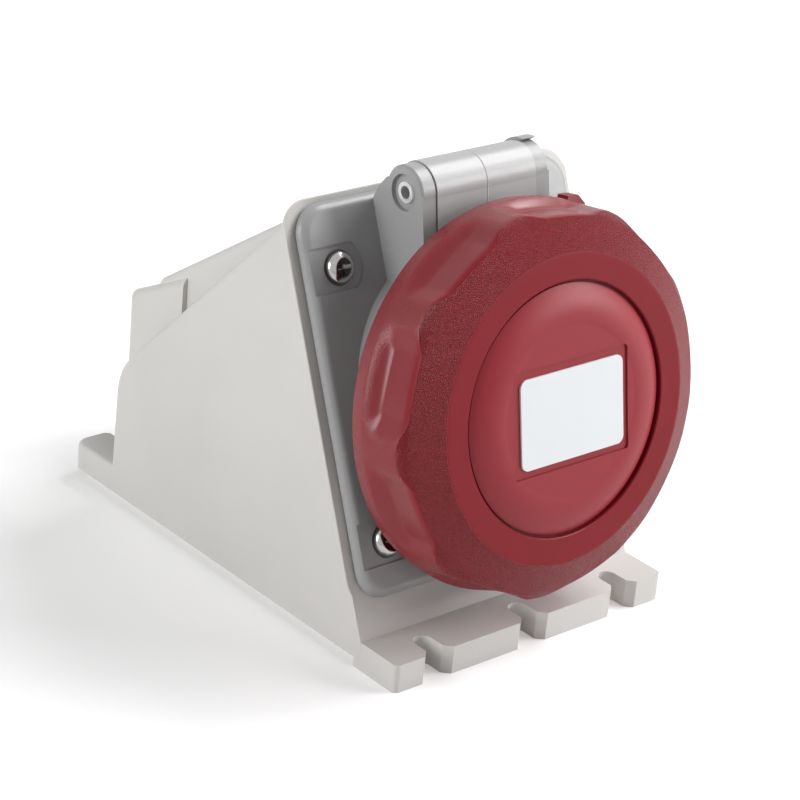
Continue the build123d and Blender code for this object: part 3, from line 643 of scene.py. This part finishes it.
class SOCKET_OT_stage(bpy.types.Operator):
    """Set the floor, lamps and camera"""
    bl_idname = "socket.stage"
    bl_label = "Stage"

    def execute(self, context):
        stage = context.scene.socket_stage
        self.floor(context, stage)
        self.lamps(context, stage)
        self.surroundings(context, stage)
        self.camera(context, stage)
        context.scene.view_settings.view_transform = "Standard"
        return {"FINISHED"}

    def floor(self, context, stage):
        """A large plain floor that looks white to the camera and keeps the shadow."""
        mesh = bpy.data.meshes.new("floor")
        half = 6.0
        corners = [(-half, -half, 0), (half, -half, 0), (half, half, 0), (-half, half, 0)]
        mesh.from_pydata(corners, [], [(0, 1, 2, 3)])
        floor = bpy.data.objects.new("floor", mesh)
        context.scene.collection.objects.link(floor)
        material, shader = new_material("Floor white")
        noise = object_noise(material, 4.0, 2.0)
        tinted(material, shader, stage.floor_colour, noise, 0.005)
        shader.inputs["Roughness"].default_value = 0.9
        shader.inputs["Specular IOR Level"].default_value = 0.0
        lift = place(material, "ShaderNodeEmission", Strength=stage.floor_lift)
        seen = seen_directly(material.node_tree)
        both = place(material, "ShaderNodeAddShader")
        join(material, shader.outputs["BSDF"], both.inputs[0])
        join(material, lift.outputs["Emission"], both.inputs[1])
        mix = place(material, "ShaderNodeMixShader")
        join(material, seen, mix.inputs["Fac"])
        join(material, shader.outputs["BSDF"], mix.inputs[1])
        join(material, both.outputs["Shader"], mix.inputs[2])
        output = next(node for node in material.node_tree.nodes if node.type == "OUTPUT_MATERIAL")
        join(material, mix.outputs["Shader"], output.inputs["Surface"])
        mesh.materials.append(material)

    def lamps(self, context, stage):
        """A key from the upper right, a side lamp, one from above and a low one in front, all out of sight."""
        middle = Vector((0, 0.03, 0.06))
        plan = (
            ("key", (1.25, -0.60, 1.10), 0.8, 0.8, stage.key_power),
            ("side", (-1.45, 0.30, 0.65), 0.9, 0.9, stage.side_power),
            ("top", (0.85, -0.02, 1.15), 0.8, 0.5, stage.top_power),
            ("low", (1.30, -1.10, 0.62), 0.8, 0.6, stage.low_power),
        )
        for name, where, width, height, power in plan:
            data = bpy.data.lights.new(name, "AREA")
            data.shape = "RECTANGLE"
            data.size = width
            data.size_y = height
            data.energy = power
            lamp = bpy.data.objects.new(name, data)
            lamp.location = where
            lamp.visible_camera = False
            lamp.rotation_euler = (middle - Vector(where)).to_track_quat("-Z", "Y").to_euler()
            context.scene.collection.objects.link(lamp)

    def surroundings(self, context, stage):
        """Plain surroundings: dim as a light, white where they are seen."""
        world = bpy.data.worlds.new("surroundings")
        context.scene.world = world
        world.use_nodes = True
        tree = world.node_tree
        tree.nodes.clear()
        output = tree.nodes.new("ShaderNodeOutputWorld")
        light = tree.nodes.new("ShaderNodeBackground")
        backdrop = tree.nodes.new("ShaderNodeBackground")
        for background in (light, backdrop):
            background.inputs["Color"].default_value = (1, 1, 1, 1)
        light.inputs["Strength"].default_value = stage.sky_strength
        mix = tree.nodes.new("ShaderNodeMixShader")
        tree.links.new(seen_directly(tree), mix.inputs["Fac"])
        tree.links.new(light.outputs["Background"], mix.inputs[1])
        tree.links.new(backdrop.outputs["Background"], mix.inputs[2])
        tree.links.new(mix.outputs["Shader"], output.inputs["Surface"])

    def camera(self, context, stage):
        """The photograph's camera: turn, height, roll and offset about a point above the base."""
        azimuth, elevation, roll = stage.azimuth, stage.elevation, stage.roll
        back = Vector((math.sin(azimuth) * math.cos(elevation), -math.cos(azimuth) * math.cos(elevation),
                       math.sin(elevation)))
        level = Vector((math.cos(azimuth), math.sin(azimuth), 0.0))
        lift = back.cross(level)
        right = math.cos(roll) * level + math.sin(roll) * lift
        up = -math.sin(roll) * level + math.cos(roll) * lift
        data = bpy.data.cameras.new("camera")
        data.sensor_width = 36.0
        data.lens = stage.lens
        data.shift_x = 0.001
        data.shift_y = 0.001
        data.clip_start = 0.01
        camera = bpy.data.objects.new("camera", data)
        target = Vector((0, 0, 0.06))
        place_at = target + right * stage.aim_right + up * stage.aim_up + back * stage.distance
        turn = Matrix((right, up, back)).transposed().to_4x4()
        camera.matrix_world = Matrix.Translation(place_at) @ turn
        context.scene.collection.objects.link(camera)
        context.scene.camera = camera


class SOCKET_PT_panel(bpy.types.Panel):
    """Finishes, stage and the operators of the wall socket"""
    bl_idname = "SOCKET_PT_panel"
    bl_label = "Wall socket"
    bl_space_type = "VIEW_3D"
    bl_region_type = "UI"
    bl_category = "Socket"

    def draw(self, context):
        """The three groups of properties, then a button for each operator."""
        layout = self.layout
        for group in (context.scene.socket_finishes, context.scene.socket_ring, context.scene.socket_stage):
            column = layout.column(align=True)
            for name in group.__annotations__:
                column.prop(group, name)
        for operator in operators:
            layout.operator(operator.bl_idname)


# Classes, in the order in which they run
operators = (
    SOCKET_OT_wall_box,
    SOCKET_OT_flange,
    SOCKET_OT_locking_ring,
    SOCKET_OT_lid_disc,
    SOCKET_OT_label,
    SOCKET_OT_fasteners,
    SOCKET_OT_seals,
    SOCKET_OT_contacts,
    SOCKET_OT_gland,
    SOCKET_OT_stage,
)
groups = (SocketFinishes, SocketRingShape, SocketStage)


def register():
    """Make the classes and the scene's property groups known."""
    for item in groups + operators + (SOCKET_PT_panel,):
        bpy.utils.register_class(item)
    bpy.types.Scene.socket_finishes = bpy.props.PointerProperty(type=SocketFinishes)
    bpy.types.Scene.socket_ring = bpy.props.PointerProperty(type=SocketRingShape)
    bpy.types.Scene.socket_stage = bpy.props.PointerProperty(type=SocketStage)


def unregister():
    """Take back what register did, in the reverse order."""
    del bpy.types.Scene.socket_stage
    del bpy.types.Scene.socket_ring
    del bpy.types.Scene.socket_finishes
    for item in reversed(groups + operators + (SOCKET_PT_panel,)):
        bpy.utils.unregister_class(item)


def main():
    """Run every operator in order."""
    register()
    for operator in operators:
        group, name = operator.bl_idname.split(".")
        getattr(getattr(bpy.ops, group), name)()


if __name__ == "__main__":
    main()
